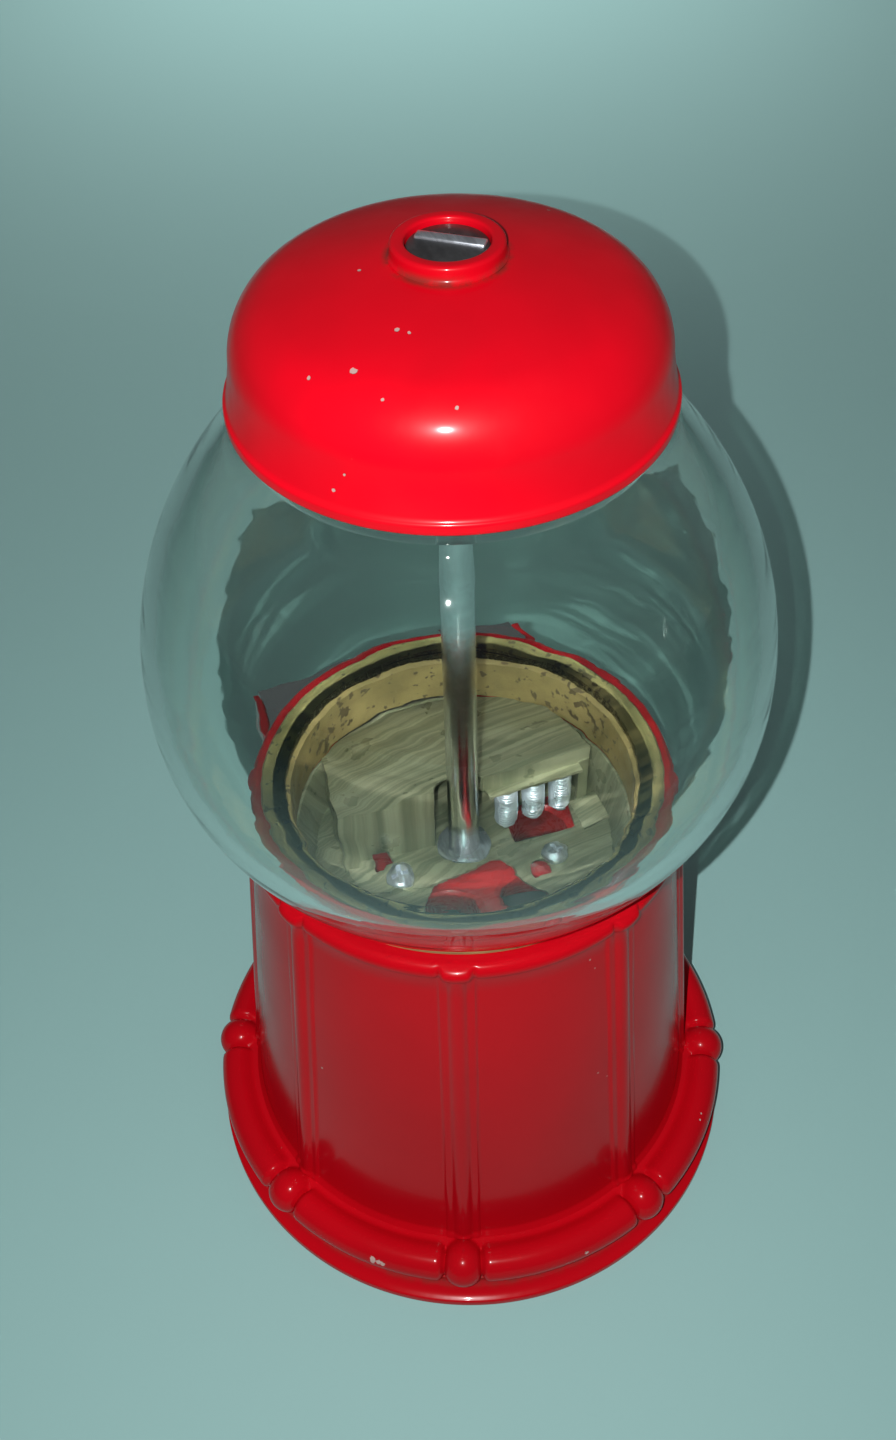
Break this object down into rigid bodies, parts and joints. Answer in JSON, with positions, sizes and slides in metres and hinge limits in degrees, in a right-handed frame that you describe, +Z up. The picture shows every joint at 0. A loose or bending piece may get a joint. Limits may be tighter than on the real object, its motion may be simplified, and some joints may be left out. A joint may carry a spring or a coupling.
{
  "type": "gumball machine",
  "caption": "Globe gumball machine: pressed-glass globe on a flared cast body with reeded pilasters, knobbed base ring, coin housing, sprung hopper and lift-off lid.",
  "frame": {"origin": "centre of the round foot on the surface the machine stands on", "axes": "+Z up along the centre rod; -Y out of the coin mechanism's face; +X to the right as seen from the front"},
  "size_m": [0.204, 0.2071, 0.3795],
  "materials": {
    "red_paint": "gloss enamel",
    "glass": "clear pressed",
    "tan_gasket": "aged",
    "plated_sheet": "bright plated, yellowed",
    "chrome": "polished",
    "zinc": "zinc plated",
    "dark_steel": "dark, worn",
    "red_plastic": "moulded",
    "grey_plastic": "moulded",
    "black_plate": "matt",
    "brass": "plain"
  },
  "bodies": {
    "body": {"body_casting": "red_paint", "bottom_plate": "black_plate", "rod_nut": "zinc", "center_rod": "zinc", "rod_tube": "chrome", "rod_washer": "zinc", "globe": "glass", "globe_gasket": "tan_gasket", "wheel_housing": "grey_plastic", "hopper_plate": "plated_sheet", "hopper_bowl": "plated_sheet", "ball_cover": "plated_sheet", "wiper_springs": "chrome", "plate_screws": "zinc", "plate_nuts": "zinc", "tray_screws": "zinc", "coin_housing": "chrome", "housing_screws": "zinc", "bearing_bracket": "zinc", "bracket_screws": "zinc", "pawl_pin": "zinc", "pawl_spring": "zinc", "gumball_chute": "grey_plastic", "chute_screws": "zinc", "door_pin": "zinc"},
    "handle": {"turn_handle": "chrome", "handle_screw": "zinc", "drive_shaft": "zinc", "coin_carrier": "dark_steel", "drive_pinion": "brass", "shaft_clip": "dark_steel"},
    "wheel": {"dispensing_wheel": "red_plastic", "crown_gear": "zinc"},
    "pawl": {"coin_pawl": "dark_steel"},
    "door": {"chute_door": "chrome"},
    "lid": {"lid": "red_paint", "lid_gasket": "tan_gasket"},
    "lock": {"lid_screw": "dark_steel"}
  },
  "joints": [
    {"name": "handle_turn", "type": "hinge", "parent": "body", "child": "handle", "pos_m": [0, -0.089, 0.1146], "axis": [0, 1, 0], "continuous": true},
    {"name": "wheel_turn", "type": "hinge", "parent": "body", "child": "wheel", "pos_m": [0, 0, 0.1244], "axis": [0, 0, 1], "continuous": true},
    {"name": "pawl_swing", "type": "hinge", "parent": "body", "child": "pawl", "pos_m": [0.031, -0.0828, 0.084], "axis": [0, 1, 0], "range_deg": [-5, 20], "stiffness_Nm_per_rad": 0.02},
    {"name": "door_swing", "type": "hinge", "parent": "body", "child": "door", "pos_m": [0, -0.0919, 0.065], "axis": [-1, 0, 0], "range_deg": [0, 75]},
    {"name": "lid_lift", "type": "slide", "parent": "body", "child": "lid", "axis": [0, 0, 1], "range_m": [0, 0.06]},
    {"name": "lock_turn", "type": "hinge", "parent": "lid", "child": "lock", "pos_m": [0, 0, 0.37], "axis": [0, 0, 1], "continuous": true}
  ],
  "couplings": [
    {"joint": "wheel_turn", "follows": "handle_turn", "ratio": 0.16667}
  ]
}
